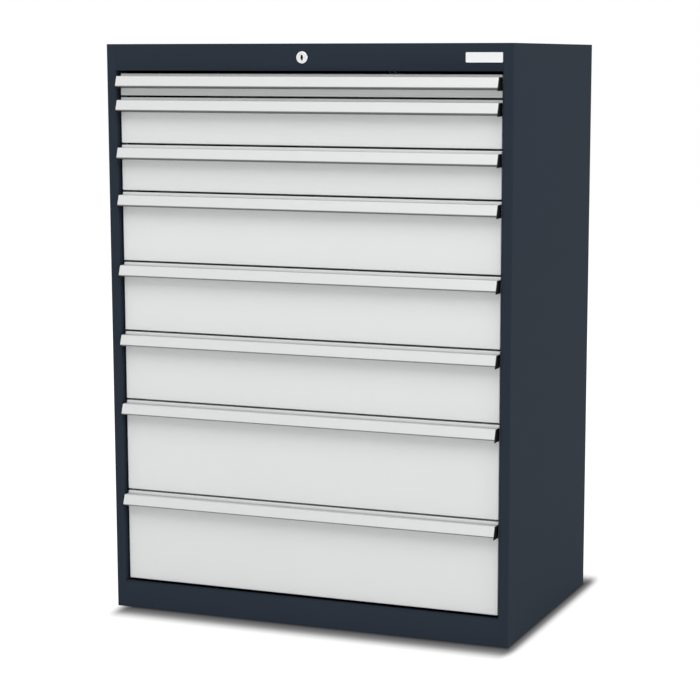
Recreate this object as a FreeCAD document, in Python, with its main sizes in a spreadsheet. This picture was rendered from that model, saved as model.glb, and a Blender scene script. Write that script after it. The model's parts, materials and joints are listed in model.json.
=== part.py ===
import FreeCAD, Part
import Sketcher
import math
import os
import re

# A free-standing cabinet with full-width drawers that share one central lock.
# Millimetres. X runs to the right, Y to the rear, Z up.
# The origin is on the floor, under the middle of the housing.
# The driving sizes below are written into a sheet, and every sketch takes its places from there.

# Housing
cabinet_width = 902  # outside width of the housing
cabinet_depth = 558  # outside depth of the housing, without handles
housing_sheet = 1.5  # steel sheet of the housing
bend_radius = 2.5  # outside radius of the long front bends
post_width = 22  # front face of each side post
post_return = 18  # depth of the fold behind the post face
rear_return = 20  # fold that carries the rear panel
lock_rail_height = 55  # front rail above the drawers
plinth_height = 57  # front rail below the drawers
rail_lip = 8  # stiffening lip of both rails
top_flange = 13  # turned-down edge of the top panel
base_flange = 25  # turned-up edge of the base panel
anchor_radius = 6  # floor anchor holes
anchor_inset_x = 70  # anchor hole to the side of the housing
anchor_inset_y = 80  # anchor hole to the front and rear of the housing

# Drawer fronts, from the top one down
front_height_1 = 46  # drawer 1
front_height_2 = 96  # drawer 2
front_height_3 = 96  # drawer 3
front_height_4 = 146  # drawer 4
front_height_5 = 146  # drawer 5
front_height_6 = 146  # drawer 6
front_height_7 = 196  # drawer 7
front_height_8 = 196  # drawer 8
front_gap = 4  # gap between two fronts
side_gap = 4  # gap between a front and a post
end_gap = 6  # gap between the fronts and the rails
front_recess = 11  # fronts set back from the face of the housing
front_depth = 16  # depth of the folded front
front_sheet = 1.5  # steel sheet of the fronts

# Trays
tray_sheet = 1.2  # steel sheet of the trays
rear_space = 41  # rear of a tray to the rear of the housing
tray_rise = 4  # underside of the tray above the front's lower edge
tray_headroom = 6  # rim of the tray below the front's upper edge

# Runners
upright_depth = 20  # outside of the housing to the inner face of an upright
upright_width = 30  # upright along the depth of the housing
upright_sheet = 1.5  # steel sheet of the uprights
upright_setback = 2  # front upright behind the post fold
upright_rear_setback = 30  # rear upright in front of the rear panel
slot_width = 5  # slots in the uprights
slot_height = 14  # slots in the uprights
slot_pitch = 25  # from one slot to the next
runner_rise = 22  # middle of a runner above the front's lower edge
runner_height = 32  # height of a runner channel
runner_depth = 12  # depth of a runner channel
runner_sheet = 1.5  # steel sheet of the runners
runner_setback = 2  # runners behind the drawer fronts
carriage_setback = 3  # carriages behind the ends of the runners
carriage_shortfall = 10  # carriage shorter than its runners
carriage_height = 22  # height of a carriage plate
carriage_plate = 2  # thickness of a carriage plate
running_gap = 0.5  # carriage plate to runner flange
roller_gap = 0.3  # roller to runner flange and roller to its head
roller_bore_gap = 0.08  # roller bore to its axle
axle_radius = 3  # roller axles
axle_head_radius = 5.5  # riveted axle heads
axle_head = 0.8  # thickness of an axle head
roller_end_distance = 20  # outermost rollers to the ends of the carriage
roller_pitch = 95  # from one roller to the next

# Handles
handle_drop = 5.5  # ledge of the handle below the front's upper edge
handle_crease = 20  # depth of the ledge
handle_reach = 28  # lower edge of the handle in front of the drawer front
handle_height = 22.5  # ledge to the lower edge
handle_wall = 2  # wall of the handle profile
handle_lip = 4.5  # lip along the lower edge
handle_back = 25.5  # flange on the drawer front
handle_round = 1.2  # rounding of the outer edges
cap_thickness = 1.5  # end caps
cap_height = 26.5  # end caps

# Lock
lock_drop = 28  # lock axis below the top
lock_face_radius = 12.5  # visible flange of the lock
lock_face = 2.5  # thickness of the visible flange
lock_chamfer = 0.8  # bevel of the visible flange
barrel_radius = 9.5  # threaded body of the lock
barrel_length = 24  # threaded body of the lock
barrel_clearance = 0.1  # barrel in its hole and under its nut
nut_width = 24  # lock nut across its flats
nut_thickness = 5  # lock nut
plug_radius = 7  # turning plug
plug_clearance = 0.1  # plug in its barrel
plug_recess = 0.4  # plug face behind the flange face
plug_tail = 6  # plug behind the barrel
key_slot_height = 9  # keyhole
key_slot_width = 2.6  # keyhole
key_slot_depth = 18  # keyhole
rod_side = 6  # square rod behind the plug
rod_socket = 8  # rod inside the plug
rod_clearance = 0.1  # square rod in its sockets and its bearing
lever_thickness = 3  # lever at the rear of the rod
lever_reach = 14  # rod axis to the peg
lever_hub_radius = 8  # hub of the lever
lever_eye_radius = 4.5  # end of the lever round the peg
peg_radius = 2.5  # peg of the lever
peg_clearance = 0.4  # peg in its slot, beyond its swing
peg_overrun = 1.5  # peg behind the lock bar
lever_gap = 1  # lever to lock bar
turn_angle = 90  # turn of the key
bar_width = 26  # lock bar
bar_thickness = 2.5  # lock bar
bar_setback = 5  # lock bar in front of the rear panel
bar_end = 10  # lock bar above its slot and below its lowest hook
guide_height = 20  # guides of the lock bar
guide_sheet = 1.5  # guides of the lock bar
guide_foot = 12  # feet of the guides
guide_gap = 0.3  # lock bar in its guides
guide_drop = 10  # guide below the upper edge of its drawer's front
bracket_width = 40  # bearing bracket of the rod
bracket_sheet = 2  # bearing bracket of the rod
bracket_foot = 18  # bearing bracket of the rod
bracket_gap = 4  # bearing bracket in front of the lever
bracket_below = 12  # bearing bracket below the rod's axis
catch_reach = 14  # catch behind the tray
catch_width = 16  # catch behind the tray
catch_sheet = 2.5  # catches and hooks
catch_lip = 10  # turned-down end of the catch
catch_rise = 30  # underside of the catch above the front's lower edge
hook_lip = 9  # turned-up end of a hook
hook_gap = 3  # hook to catch when locked

# Plate on the lock rail
badge_width = 77  # blank plate
badge_height = 20  # blank plate
badge_thickness = 1  # blank plate

SIZES = {name: value for name, value in globals().items() if isinstance(value, (int, float))}

doc = FreeCAD.newDocument("drawer_cabinet")
sheet = doc.addObject("Spreadsheet::Sheet", "Sizes")
for row, (name, value) in enumerate(SIZES.items(), 1):
    sheet.set("A%d" % row, name)
    sheet.set("B%d" % row, str(value))
    sheet.setAlias("B%d" % row, name)
doc.recompute()

DRAWERS = range(1, 9)
RAILS = "plinth_height + lock_rail_height + 2 * end_gap"
FRONTS = " + ".join("front_height_%d" % number for number in DRAWERS)
HEIGHT = "(%s + %s + %d * front_gap)" % (RAILS, FRONTS, len(DRAWERS) - 1)
FRONT_WIDTH = "(cabinet_width - 2 * post_width - 2 * side_gap)"
OPENING_WIDTH = "(cabinet_width - 2 * post_width)"
FRONT_FACE = "(front_recess - cabinet_depth / 2)"
RUNNER_FACE = "(cabinet_width / 2 - upright_depth)"
TRAY_HALF = "(cabinet_width / 2 - upright_depth - 2 * runner_depth - carriage_plate - 2 * running_gap)"
FRONT_REAR = "(%s + front_depth)" % FRONT_FACE
TRAY_LENGTH = "(cabinet_depth - front_recess - front_depth - rear_space)"
CARRIAGE_LENGTH = "(%s - carriage_shortfall)" % TRAY_LENGTH
TRAY_REAR = "(%s + %s)" % (FRONT_REAR, TRAY_LENGTH)
UPRIGHT_START = "(post_return + upright_setback - cabinet_depth / 2)"
LOCK_AXIS = "(%s - lock_drop)" % HEIGHT
BAR_FACE = "(cabinet_depth / 2 - housing_sheet - bar_setback - bar_thickness)"
LEVER_FACE = "(%s - lever_gap - lever_thickness)" % BAR_FACE
PEG_SWING = "(lever_reach * sin(turn_angle / 2))"
PEG_NEAR = "(lever_reach * cos(turn_angle / 2))"
# The peg moves on an arc while the bar lifts evenly, so its slot is taller by the difference.
PEG_PLAY = "(peg_clearance + lever_reach * (sin(turn_angle / 4) - sin(turn_angle / 2) / 2))"
BAR_MIDDLE = "(0 - (lever_reach + %s) / 2)" % PEG_NEAR


def base_of(number):
    """Height of a drawer front's lower edge above the floor."""
    below = ["front_height_%d + front_gap" % other for other in DRAWERS if other > number]
    return "(" + " + ".join(["plinth_height + end_gap"] + below) + ")"


def formula(text):
    """Point every size name in a formula at the sheet."""
    def linked(word):
        return "Sizes." + word.group() if word.group() in SIZES else word.group()

    return re.sub(r"[a-z][a-z_0-9]*", linked, text)


def bind(thing, prop, text):
    """Tie a property to a formula over the sizes."""
    thing.setExpression(prop, formula(text))


def new_body(label, across="0", back="0", up="0"):
    """Start a sub-part whose own origin sits at the given place."""
    body = doc.addObject("PartDesign::Body", label)
    body.Label = label
    body.AllowCompound = True
    for axis, text in (("x", across), ("y", back), ("z", up)):
        if text != "0":
            bind(body, "Placement.Base." + axis, text)
    return body


def origin_part(body, role):
    return next(item for item in body.Origin.OriginFeatures if item.Role == role)


def new_sketch(body, role, offset="0"):
    """Lay a sketch on one of the body's own planes, moved along the plane's normal."""
    drawing = body.newObject("Sketcher::SketchObject", body.Name + "_sketch")
    drawing.AttachmentSupport = [(origin_part(body, role), "")]
    drawing.MapMode = "FlatFace"
    if offset != "0":
        bind(drawing, "AttachmentOffset.Base.z", offset)
    return drawing


def outline(drawing, corners):
    """Draw a closed outline through corners given as pairs of formulas."""
    first = drawing.GeometryCount
    count = len(corners)
    turns = [2 * math.pi * step / count for step in range(count)]
    guess = [FreeCAD.Vector(100 * math.cos(turn), 100 * math.sin(turn), 0) for turn in turns]
    for step in range(count):
        drawing.addGeometry(Part.LineSegment(guess[step], guess[(step + 1) % count]), False)
    joins = []
    places = []
    for step in range(count):
        joins.append(Sketcher.Constraint("Coincident", first + step, 2, first + (step + 1) % count, 1))
        places.append(Sketcher.Constraint("DistanceX", -1, 1, first + step, 1, guess[step].x))
        places.append(Sketcher.Constraint("DistanceY", -1, 1, first + step, 1, guess[step].y))
    drawing.addConstraint(joins)
    rows = drawing.addConstraint(places)
    for row, text in zip(rows, [text for corner in corners for text in corner]):
        bind(drawing, "Constraints[%d]" % row, text)


def rectangle(drawing, left, low, right, high):
    outline(drawing, [(left, low), (right, low), (right, high), (left, high)])


def circle(drawing, across, up, radius):
    """Draw a circle whose centre and radius are formulas."""
    place = drawing.addGeometry(Part.Circle(FreeCAD.Vector(1, 1, 0), FreeCAD.Vector(0, 0, 1), 1), False)
    rows = drawing.addConstraint([
        Sketcher.Constraint("DistanceX", -1, 1, place, 3, 1),
        Sketcher.Constraint("DistanceY", -1, 1, place, 3, 1),
        Sketcher.Constraint("Radius", place, 1),
    ])
    for row, text in zip(rows, (across, up, radius)):
        bind(drawing, "Constraints[%d]" % row, text)


def pad(body, drawing, length, backwards=False):
    """Thicken a sketch. On the XZ plane, backwards means towards the rear."""
    feature = body.newObject("PartDesign::Pad", body.Name + "_pad")
    feature.Profile = drawing
    bind(feature, "Length", length)
    feature.Reversed = backwards
    drawing.Visibility = False
    return feature


def pocket(body, drawing, length, backwards=False):
    """Cut a sketch into the body, against the sketch plane's normal unless backwards."""
    feature = body.newObject("PartDesign::Pocket", body.Name + "_pocket")
    feature.Profile = drawing
    bind(feature, "Length", length)
    feature.Reversed = backwards
    drawing.Visibility = False
    return feature


def round_edges(body, base, wanted, radius):
    """Round the edges of a feature whose bounding boxes the test picks."""
    doc.recompute()
    edges = enumerate(base.Shape.Edges, 1)
    chosen = ["Edge%d" % number for number, edge in edges if wanted(edge.BoundBox)]
    feature = body.newObject("PartDesign::Fillet", body.Name + "_round")
    feature.Base = (base, chosen)
    bind(feature, "Radius", radius)
    return feature


def mirrored_copy(source):
    """Mirror a piece to the other side of the cabinet."""
    copy = doc.addObject("Part::Mirroring", source.Name + "_mirrored")
    copy.Source = source
    copy.Normal = (1, 0, 0)
    return copy


def group(label, members, back="0", up="0"):
    """Keep like pieces together as one sub-part of separate solids."""
    joined = doc.addObject("Part::Compound", label)
    joined.Label = label
    joined.Links = members
    for axis, text in (("y", back), ("z", up)):
        if text != "0":
            bind(joined, "Placement.Base." + axis, text)
    return joined


# Housing


def side_panel(label, side):
    """Side wall folded round into a front post and a rear flange."""
    def across(inward):
        return "%d * (cabinet_width / 2 - (%s))" % (side, inward)

    body = new_body(label)
    drawing = new_sketch(body, "XY_Plane")
    front = "0 - cabinet_depth / 2"
    rear = "cabinet_depth / 2 - housing_sheet"
    outline(drawing, [
        (across("0"), front),
        (across("post_width"), front),
        (across("post_width"), front + " + post_return"),
        (across("post_width - housing_sheet"), front + " + post_return"),
        (across("post_width - housing_sheet"), front + " + housing_sheet"),
        (across("housing_sheet"), front + " + housing_sheet"),
        (across("housing_sheet"), rear + " - housing_sheet"),
        (across("rear_return"), rear + " - housing_sheet"),
        (across("rear_return"), rear),
        (across("0"), rear),
    ])
    wall = pad(body, drawing, HEIGHT)
    face = -cabinet_depth / 2
    round_edges(body, wall, lambda box: box.ZLength > 1 and box.YMax < face + 0.1, "bend_radius")
    # The folds stop short of both ends, where the top and base panels fit in.
    for start, height in (("0", "base_flange"), (HEIGHT + " - top_flange", "top_flange")):
        notch = new_sketch(body, "XY_Plane", start)
        rectangle(notch, across("housing_sheet"), front + " + housing_sheet",
                  across("post_width + rear_return"), rear)
        pocket(body, notch, height, backwards=True)
    return body


def pan(label, flange, open_below):
    """Flat panel between the side walls with all four edges turned the same way."""
    body = new_body(label, up=HEIGHT + " - " + flange if open_below else "0")
    reach = "(cabinet_width / 2 - housing_sheet)"
    depth = "(cabinet_depth / 2 - housing_sheet)"
    drawing = new_sketch(body, "XY_Plane")
    rectangle(drawing, "0 - " + reach, "0 - " + depth, reach, depth)
    pad(body, drawing, flange)
    hollow = new_sketch(body, "XY_Plane", "0" if open_below else "housing_sheet")
    reach += " - housing_sheet"
    depth += " - housing_sheet"
    rectangle(hollow, "0 - (%s)" % reach, "0 - (%s)" % depth, reach, depth)
    pocket(body, hollow, flange + " - housing_sheet", backwards=True)
    return body


def base_panel():
    body = pan("base_panel", "base_flange", open_below=False)
    holes = new_sketch(body, "XY_Plane")
    for across in (-1, 1):
        for along in (-1, 1):
            circle(holes, "%d * (cabinet_width / 2 - anchor_inset_x)" % across,
                   "%d * (cabinet_depth / 2 - anchor_inset_y)" % along, "anchor_radius")
    pocket(body, holes, "housing_sheet", backwards=True)
    return body


def rear_panel():
    body = new_body("rear_panel", back="cabinet_depth / 2 - housing_sheet")
    drawing = new_sketch(body, "XZ_Plane")
    rectangle(drawing, "0 - cabinet_width / 2", "0", "cabinet_width / 2", HEIGHT)
    pad(body, drawing, "housing_sheet", backwards=True)
    return body


def rail(label, height, fold_at_top, up="0"):
    """Front rail between the posts: a face, a fold towards the rear and a lip."""
    body = new_body(label, "0 - %s / 2" % OPENING_WIDTH, "0 - cabinet_depth / 2", up)
    drawing = new_sketch(body, "YZ_Plane")
    corners = [
        ("0", "0"), ("post_return", "0"), ("post_return", "rail_lip"),
        ("post_return - housing_sheet", "rail_lip"), ("post_return - housing_sheet", "housing_sheet"),
        ("housing_sheet", "housing_sheet"), ("housing_sheet", height), ("0", height),
    ]
    if fold_at_top:
        corners = [(back, "%s - (%s)" % (height, above)) for back, above in corners]
    outline(drawing, corners)
    pad(body, drawing, OPENING_WIDTH)
    return body


def lock_rail():
    body = rail("lock_rail", "lock_rail_height", False, HEIGHT + " - lock_rail_height")
    hole = new_sketch(body, "XZ_Plane")
    circle(hole, OPENING_WIDTH + " / 2", "lock_rail_height - lock_drop",
           "barrel_radius + barrel_clearance")
    pocket(body, hole, "housing_sheet")
    return body


def uprights(label, side):
    """Front and rear slotted posts that carry the runners of one side."""
    def across(inward):
        return "%d * (cabinet_width / 2 - (%s))" % (side, inward)

    body = new_body(label, up="base_flange")
    drawing = new_sketch(body, "XY_Plane")
    starts = (UPRIGHT_START, "cabinet_depth / 2 - housing_sheet - upright_rear_setback - upright_width")
    for start in starts:
        outline(drawing, [
            (across("housing_sheet"), start),
            (across("upright_depth"), start),
            (across("upright_depth"), start + " + upright_width"),
            (across("housing_sheet"), start + " + upright_width"),
            (across("housing_sheet"), start + " + upright_width - upright_sheet"),
            (across("upright_depth - upright_sheet"), start + " + upright_width - upright_sheet"),
            (across("upright_depth - upright_sheet"), start + " + upright_sheet"),
            (across("housing_sheet"), start + " + upright_sheet"),
        ])
    height = HEIGHT + " - base_flange - top_flange"
    pad(body, drawing, height)
    slots = new_sketch(body, "YZ_Plane", across("upright_depth"))
    for start in starts:
        middle = "%s + upright_width / 2" % start
        rectangle(slots, middle + " - slot_width / 2", "slot_pitch - slot_height / 2",
                  middle + " + slot_width / 2", "slot_pitch + slot_height / 2")
    cut = pocket(body, slots, "upright_sheet", backwards=side < 0)
    pattern = body.newObject("PartDesign::LinearPattern", body.Name + "_slots")
    pattern.Originals = [cut]
    pattern.Direction = (origin_part(body, "Z_Axis"), [""])
    bind(pattern, "Occurrences", "floor((%s) / slot_pitch) - 1" % height)
    bind(pattern, "Length", "slot_pitch * (floor((%s) / slot_pitch) - 2)" % height)
    body.Tip = pattern
    return body


def cabinet_runners(label, side):
    """Fixed channels, one for each drawer, open towards the drawers."""
    def across(inward):
        return "%d * (%s - (%s))" % (side, RUNNER_FACE, inward)

    body = new_body(label, back=FRONT_REAR + " + runner_setback")
    for number in DRAWERS:
        drawing = new_sketch(body, "XZ_Plane")
        low = "%s + runner_rise - runner_height / 2" % base_of(number)
        high = low + " + runner_height"
        outline(drawing, [
            (across("0"), low),
            (across("runner_depth"), low),
            (across("runner_depth"), low + " + runner_sheet"),
            (across("runner_sheet"), low + " + runner_sheet"),
            (across("runner_sheet"), high + " - runner_sheet"),
            (across("runner_depth"), high + " - runner_sheet"),
            (across("runner_depth"), high),
            (across("0"), high),
        ])
        pad(body, drawing, TRAY_LENGTH, backwards=True)
    return body


def badge_plate():
    """Blank plate in line with the ends of the drawer fronts, level with the lock."""
    body = new_body("badge_plate", "%s / 2 - badge_width" % OPENING_WIDTH,
                    "0 - cabinet_depth / 2", LOCK_AXIS + " - badge_height / 2")
    drawing = new_sketch(body, "XZ_Plane")
    rectangle(drawing, "0", "0", "badge_width", "badge_height")
    pad(body, drawing, "badge_thickness")
    return body


# Drawers


def drawer_front(number):
    """Folded front, open at the rear."""
    height = "front_height_%d" % number
    body = new_body("drawer_%d_front" % number, "0", FRONT_FACE, base_of(number))
    drawing = new_sketch(body, "XZ_Plane")
    half = FRONT_WIDTH + " / 2"
    rectangle(drawing, "0 - " + half, "0", half, height)
    pad(body, drawing, "front_depth", backwards=True)
    hollow = new_sketch(body, "XZ_Plane", "0 - front_sheet")
    half += " - front_sheet"
    rectangle(hollow, "0 - (%s)" % half, "front_sheet", half, height + " - front_sheet")
    pocket(body, hollow, "front_depth - front_sheet")
    return body


def drawer_tray(number):
    """Tray with the drawer's own runner channels, a front skin and a lock catch."""
    rim = "front_height_%d - tray_headroom" % number
    low = "runner_rise - runner_height / 2"
    high = "runner_rise + runner_height / 2"
    body = new_body("drawer_%d_tray" % number, "0", FRONT_REAR, base_of(number))
    half = [
        (TRAY_HALF, "tray_rise"),
        (TRAY_HALF, low),
        (TRAY_HALF + " + runner_depth", low),
        (TRAY_HALF + " + runner_depth", low + " + runner_sheet"),
        (TRAY_HALF, low + " + runner_sheet"),
        (TRAY_HALF, high + " - runner_sheet"),
        (TRAY_HALF + " + runner_depth", high + " - runner_sheet"),
        (TRAY_HALF + " + runner_depth", high),
        (TRAY_HALF, high),
        (TRAY_HALF, rim),
        (TRAY_HALF + " - tray_sheet", rim),
        (TRAY_HALF + " - tray_sheet", "tray_rise + tray_sheet"),
    ]
    other_half = [("0 - (%s)" % across, up) for across, up in reversed(half)]
    section = new_sketch(body, "XZ_Plane")
    outline(section, half + other_half)
    pad(body, section, TRAY_LENGTH, backwards=True)

    skin = new_sketch(body, "XZ_Plane")
    reach = FRONT_WIDTH + " / 2 - front_sheet"
    rectangle(skin, "0 - (%s)" % reach, "front_sheet", reach, "front_height_%d - front_sheet" % number)
    pad(body, skin, "tray_sheet")

    rear = new_sketch(body, "XZ_Plane", "0 - " + TRAY_LENGTH)
    rectangle(rear, "0 - " + TRAY_HALF, "tray_rise", TRAY_HALF, rim)
    pad(body, rear, "tray_sheet")

    catch = new_sketch(body, "YZ_Plane", BAR_MIDDLE + " - catch_width / 2")
    reach = TRAY_LENGTH + " + catch_reach"
    outline(catch, [
        (TRAY_LENGTH, "catch_rise"),
        (reach + " - catch_sheet", "catch_rise"),
        (reach + " - catch_sheet", "catch_rise - catch_lip"),
        (reach, "catch_rise - catch_lip"),
        (reach, "catch_rise + catch_sheet"),
        (TRAY_LENGTH, "catch_rise + catch_sheet"),
    ])
    pad(body, catch, "catch_width")
    return body


HANDLE_LEAN = "((handle_reach - handle_crease) / handle_height)"


def drawer_handle(number):
    """Full-width grip profile: ledge, leaning face with a lip, and a flange on the front."""
    body = new_body("drawer_%d_handle" % number, "cap_thickness - %s / 2" % FRONT_WIDTH, FRONT_FACE,
                    base_of(number) + " + front_height_%d - handle_drop" % number)
    drawing = new_sketch(body, "YZ_Plane")
    low_lean = HANDLE_LEAN + " * (handle_height - handle_wall)"
    high_lean = HANDLE_LEAN + " * handle_wall"
    outline(drawing, [
        ("0", "0"),
        ("0 - handle_crease", "0"),
        ("0 - handle_reach", "0 - handle_height"),
        ("handle_lip - handle_reach", "0 - handle_height"),
        ("handle_lip - handle_reach", "handle_wall - handle_height"),
        ("handle_wall - handle_crease - " + low_lean, "handle_wall - handle_height"),
        ("handle_wall - handle_crease - " + high_lean, "0 - handle_wall"),
        ("0 - handle_wall", "0 - handle_wall"),
        ("0 - handle_wall", "0 - handle_back"),
        ("0", "0 - handle_back"),
    ])
    length = FRONT_WIDTH + " - 2 * cap_thickness"
    profile = pad(body, drawing, length)
    places = (-handle_crease, -handle_reach)
    round_edges(body, profile, lambda box: box.XLength > 1 and box.YLength < 0.1
                and min(abs(box.YMin - place) for place in places) < 0.1, "handle_round")
    return body


def drawer_handle_caps(number):
    """A flat cap on each end of the handle, a little deeper than the profile."""
    body = new_body("drawer_%d_handle_caps" % number, "0", FRONT_FACE,
                    base_of(number) + " + front_height_%d - handle_drop" % number)
    ends = ("%s / 2 - cap_thickness" % FRONT_WIDTH, "0 - %s / 2" % FRONT_WIDTH)
    for end in ends:
        drawing = new_sketch(body, "YZ_Plane", end)
        outline(drawing, [
            ("0", "0"),
            ("0 - handle_crease", "0"),
            ("0 - handle_crease - %s * cap_height" % HANDLE_LEAN, "0 - cap_height"),
            ("0", "0 - cap_height"),
        ])
        pad(body, drawing, "cap_thickness")
    return body


# Carriages between the cabinet's runners and the drawers' runners

PLATE_OUTER = "(%s - runner_depth - running_gap)" % RUNNER_FACE
ROLLER_RADIUS = "(runner_height / 2 - runner_sheet - roller_gap)"
SHANK = "(runner_depth - runner_sheet - axle_head)"
FORE_ROLLERS = ["roller_end_distance + %d * roller_pitch" % step for step in range(3)]
LAST_ROLLER = CARRIAGE_LENGTH + " - roller_end_distance"
REAR_ROLLERS = ["%s - %d * roller_pitch" % (LAST_ROLLER, step) for step in range(3)]


def roller_spots(drawing, spots, radius):
    for spot in spots:
        circle(drawing, spot, "0", radius)


def right_carriage():
    """Plate with axles: the rear ones run in the cabinet, the fore ones in the drawer."""
    body = new_body("right_carriage")
    drawing = new_sketch(body, "YZ_Plane", PLATE_OUTER)
    rectangle(drawing, "0", "0 - carriage_height / 2", CARRIAGE_LENGTH, "carriage_height / 2")
    pad(body, drawing, "carriage_plate", backwards=True)
    sides = ((PLATE_OUTER, REAR_ROLLERS, 1), (PLATE_OUTER + " - carriage_plate", FORE_ROLLERS, -1))
    for face, spots, way in sides:
        axles = new_sketch(body, "YZ_Plane", face)
        roller_spots(axles, spots, "axle_radius")
        pad(body, axles, SHANK, backwards=way < 0)
        heads = new_sketch(body, "YZ_Plane", "%s + %d * %s" % (face, way, SHANK))
        roller_spots(heads, spots, "axle_head_radius")
        pad(body, heads, "axle_head", backwards=way < 0)
    return body


def right_rollers():
    """Loose rollers on the axles, held between the plate and the axle heads."""
    body = new_body("right_rollers")
    sides = ((PLATE_OUTER, REAR_ROLLERS, 1), (PLATE_OUTER + " - carriage_plate", FORE_ROLLERS, -1))
    for face, spots, way in sides:
        drawing = new_sketch(body, "YZ_Plane", "%s + %d * roller_gap" % (face, way))
        roller_spots(drawing, spots, ROLLER_RADIUS)
        roller_spots(drawing, spots, "axle_radius + roller_bore_gap")
        pad(body, drawing, SHANK + " - 2 * roller_gap", backwards=way < 0)
    return body


# Central lock


def lock_barrel():
    """Turned barrel with a flange, its axis along the depth of the cabinet."""
    body = new_body("lock_barrel", "0", "0 - cabinet_depth / 2", LOCK_AXIS)
    drawing = new_sketch(body, "XY_Plane")
    bore = "plug_radius + plug_clearance"
    outline(drawing, [
        (bore, "0 - lock_face"),
        ("lock_face_radius - lock_chamfer", "0 - lock_face"),
        ("lock_face_radius", "lock_chamfer - lock_face"),
        ("lock_face_radius", "0"),
        ("barrel_radius", "0"),
        ("barrel_radius", "barrel_length"),
        (bore, "barrel_length"),
    ])
    turned = body.newObject("PartDesign::Revolution", "lock_barrel_turned")
    turned.Profile = drawing
    turned.ReferenceAxis = (drawing, ["V_Axis"])
    turned.Angle = 360
    return body


def lock_nut():
    """Hexagonal nut that clamps the barrel to the rail."""
    body = new_body("lock_nut", "0", "housing_sheet - cabinet_depth / 2", LOCK_AXIS)
    drawing = new_sketch(body, "XZ_Plane")
    corner = "nut_width / 2 / cos(30)"
    outline(drawing, [(corner + " * cos(%d)" % turn, corner + " * sin(%d)" % turn)
                      for turn in range(0, 360, 60)])
    circle(drawing, "0", "0", "barrel_radius + barrel_clearance")
    pad(body, drawing, "nut_thickness", backwards=True)
    return body


def lock_plug():
    """Turning plug with its keyhole in front and a square socket behind."""
    body = new_body("lock_plug", "0", "plug_recess - lock_face - cabinet_depth / 2", LOCK_AXIS)
    drawing = new_sketch(body, "XZ_Plane")
    circle(drawing, "0", "0", "plug_radius")
    length = "(lock_face - plug_recess + barrel_length + plug_tail)"
    pad(body, drawing, length, backwards=True)
    keyhole = new_sketch(body, "XZ_Plane")
    rectangle(keyhole, "0 - key_slot_width / 2", "0 - key_slot_height / 2",
              "key_slot_width / 2", "key_slot_height / 2")
    pocket(body, keyhole, "key_slot_depth")
    socket = new_sketch(body, "XZ_Plane", "0 - " + length)
    half = "rod_side / 2 + rod_clearance"
    rectangle(socket, "0 - (%s)" % half, "0 - (%s)" % half, half, half)
    pocket(body, socket, "rod_socket", backwards=True)
    return body


def lock_rod():
    """Square rod from the plug to the lever at the rear."""
    start = "(barrel_length + plug_tail - rod_socket - cabinet_depth / 2)"
    body = new_body("lock_rod", "0", start, LOCK_AXIS)
    drawing = new_sketch(body, "XZ_Plane")
    rectangle(drawing, "0 - rod_side / 2", "0 - rod_side / 2", "rod_side / 2", "rod_side / 2")
    pad(body, drawing, "%s + lever_thickness - %s" % (LEVER_FACE, start), backwards=True)
    return body


def lock_lever():
    """Lever on the rod. Its peg lifts the lock bar and rests half a turn of the key below level."""
    body = new_body("lock_lever", "0", LEVER_FACE, LOCK_AXIS)
    lean_x = "lever_eye_radius * sin(turn_angle / 2)"
    lean_z = "lever_eye_radius * cos(turn_angle / 2)"
    hub = new_sketch(body, "XZ_Plane")
    circle(hub, "0", "0", "lever_hub_radius")
    pad(body, hub, "lever_thickness", backwards=True)
    arm = new_sketch(body, "XZ_Plane")
    outline(arm, [
        (lean_x, "0 - " + lean_z),
        ("%s - %s" % (lean_x, PEG_NEAR), "0 - %s - %s" % (lean_z, PEG_SWING)),
        ("0 - %s - %s" % (lean_x, PEG_NEAR), "%s - %s" % (lean_z, PEG_SWING)),
        ("0 - " + lean_x, lean_z),
    ])
    pad(body, arm, "lever_thickness", backwards=True)
    eye = new_sketch(body, "XZ_Plane")
    circle(eye, "0 - " + PEG_NEAR, "0 - " + PEG_SWING, "lever_eye_radius")
    pad(body, eye, "lever_thickness", backwards=True)
    socket = new_sketch(body, "XZ_Plane")
    half = "rod_side / 2 + rod_clearance"
    rectangle(socket, "0 - (%s)" % half, "0 - (%s)" % half, half, half)
    pocket(body, socket, "lever_thickness")
    peg = new_sketch(body, "XZ_Plane", "0 - lever_thickness")
    circle(peg, "0 - " + PEG_NEAR, "0 - " + PEG_SWING, "peg_radius")
    pad(body, peg, "lever_gap + bar_thickness + peg_overrun", backwards=True)
    return body


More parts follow.
